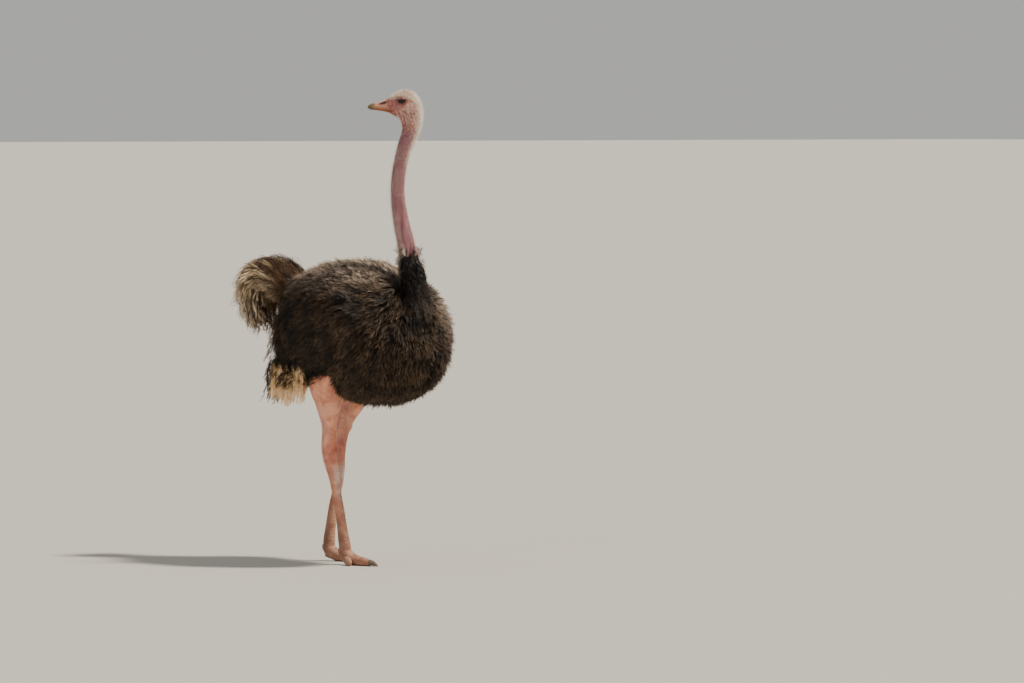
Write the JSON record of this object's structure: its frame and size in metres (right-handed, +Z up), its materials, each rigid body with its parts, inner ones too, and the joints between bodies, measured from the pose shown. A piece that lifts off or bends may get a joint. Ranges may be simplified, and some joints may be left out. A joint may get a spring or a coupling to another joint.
{
  "type": "ostrich",
  "caption": "Male Masai ostrich standing still, life size, with shaggy black plumage, a drooping brown tail, bare pink neck and legs, and its head turned back over its right shoulder.",
  "frame": {"origin": "on the floor, under the centre of the bird's bounding box", "axes": "+Z up; the body faces -Y, and the bird's own left side is +X"},
  "size_m": [0.652, 1.239, 2.1521],
  "materials": {
    "black_plumage": "long, loose, shaggy feathers, nearly black with a brown cast and grey edges",
    "tail_plumage": "curled brown plumes with cream outer edges",
    "white_plumage": "soft cream plumes, and the pale bristles of head and neck",
    "neck_skin": "bare mauve pink skin, finely folded, with sparse down",
    "head_skin": "pink face skin under short pale bristles",
    "leg_skin": "bare salmon pink skin with scales on the shank and toes",
    "bill_horn": "dull horn, orange brown to olive brown",
    "eye": "wet and glossy, very dark brown",
    "claw_horn": "worn dark horn"
  },
  "bodies": {
    "root": {"trunk": "black_plumage", "wing_left": "black_plumage", "wing_right": "black_plumage", "wing_plumes_left": "white_plumage", "wing_plumes_right": "white_plumage", "tail": "tail_plumage", "neck_base": "black_plumage", "neck_lower": "neck_skin", "neck_middle": "neck_skin", "neck_upper": "neck_skin", "head": "head_skin", "eye_left": "eye", "eye_right": "eye", "bill_upper": "bill_horn", "bill_lower": "bill_horn", "upper_leg_left": "leg_skin", "lower_leg_left": "leg_skin", "foot_left": "leg_skin", "toe_large_left": "leg_skin", "toe_small_left": "leg_skin", "claw_left": "claw_horn", "upper_leg_right": "leg_skin", "lower_leg_right": "leg_skin", "foot_right": "leg_skin", "toe_large_right": "leg_skin", "toe_small_right": "leg_skin", "claw_right": "claw_horn"}
  },
  "joints": []
}
